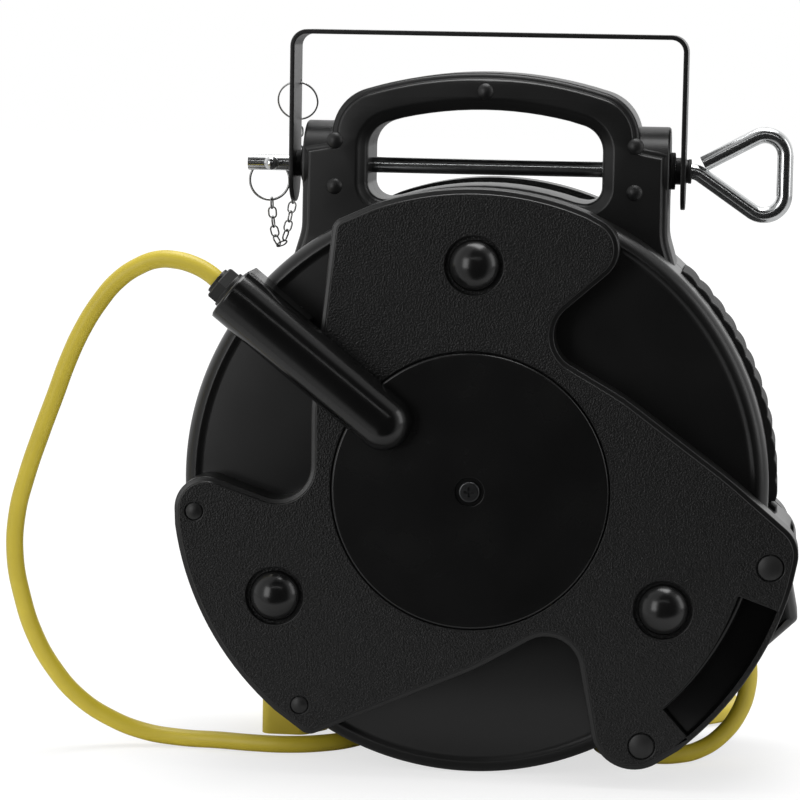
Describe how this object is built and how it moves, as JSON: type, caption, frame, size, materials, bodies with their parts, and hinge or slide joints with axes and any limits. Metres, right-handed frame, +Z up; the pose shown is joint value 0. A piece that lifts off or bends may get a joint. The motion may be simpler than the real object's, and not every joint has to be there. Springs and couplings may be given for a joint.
{
  "type": "extension cord reel",
  "caption": "Spring-rewind extension cord reel: round drum between three-lobed covers, carry handle pinned in a swivel ceiling bracket, lead-in cord with plug and output cord with tap.",
  "frame": {"origin": "middle of the bracket's top face, at its middle mounting hole", "axes": "+X right along the bracket, +Y to the back of the reel along the spool's axis, +Z up"},
  "size_m": [0.4693, 0.2975, 0.436],
  "materials": {
    "drum": "satin moulded black",
    "cover": "fine leather grain, black",
    "disc": "smooth satin black",
    "handle": "satin moulded black",
    "rubber": "matt black rubber",
    "trim": "gloss black",
    "steel": "zinc plated",
    "spool": "matt dark plastic",
    "bush": "oil-filled nylon",
    "copper": "turned",
    "bracket": "black powder coat",
    "chrome": "bright plated",
    "cord": "satin yellow jacket",
    "brass": "plated brass"
  },
  "bodies": {
    "housing": {"front_shell": "drum", "rear_shell": "drum", "front_cover": "cover", "rear_cover": "cover", "inlet_disc": "disc", "spring_disc": "disc", "disc_screws": "steel", "gland_cap": "trim", "front_bumpers": "trim", "rear_bumpers": "trim", "cover_caps": "trim", "post_caps": "trim", "handle_caps": "trim", "case_bolts": "steel", "handle_front": "handle", "handle_rear": "handle", "rub_strip": "rubber", "cord_lip": "handle", "roller_axles": "steel", "main_axle": "steel", "brush_block": "bush", "pawl_pin": "steel", "spring_case": "steel", "power_spring": "steel", "feed_cord": "cord", "ear_washers": "rubber", "lead_cord": "cord", "plug_body": "cord", "plug_blades": "brass", "output_cord": "cord", "tap_body": "cord"},
    "spool": {"spool_front_half": "spool", "spool_rear_half": "spool", "spool_bushes": "bush", "wound_cord": "cord", "slip_rings": "copper", "ratchet": "steel"},
    "roller_above": {"upper_roller": "spool"},
    "roller_below": {"lower_roller": "spool"},
    "pawl": {"pawl": "steel"},
    "hanger": {"bracket": "bracket", "leg_bushes": "trim", "hanging_pin": "chrome", "pin_collar": "rubber", "lynch_pin": "chrome", "split_ring": "chrome", "chain": "chrome"},
    "hoop": {"lynch_hoop": "chrome"}
  },
  "joints": [
    {"name": "spool_spin", "type": "hinge", "parent": "housing", "child": "spool", "pos_m": [0, 0, -0.264], "axis": [0, 1, 0], "continuous": true},
    {"name": "upper_roller_spin", "type": "hinge", "parent": "housing", "child": "roller_above", "pos_m": [0.17437, 0, -0.30266], "axis": [0, 1, 0], "continuous": true},
    {"name": "lower_roller_spin", "type": "hinge", "parent": "housing", "child": "roller_below", "pos_m": [0.10295, 0, -0.40994], "axis": [0, 1, 0], "continuous": true},
    {"name": "pawl_swing", "type": "hinge", "parent": "housing", "child": "pawl", "pos_m": [-0.064, 0, -0.264], "axis": [0, 1, 0], "range_deg": [-4, 14]},
    {"name": "bracket_swing", "type": "hinge", "parent": "housing", "child": "hanger", "pos_m": [0, 0, -0.08], "axis": [1, 0, 0], "range_deg": [-75, 75]},
    {"name": "hoop_swing", "type": "hinge", "parent": "hanger", "child": "hoop", "pos_m": [-0.1316, 0.00895, -0.079], "axis": [1, 0, 0], "range_deg": [-20, 70], "deforming": ["chain"]}
  ]
}
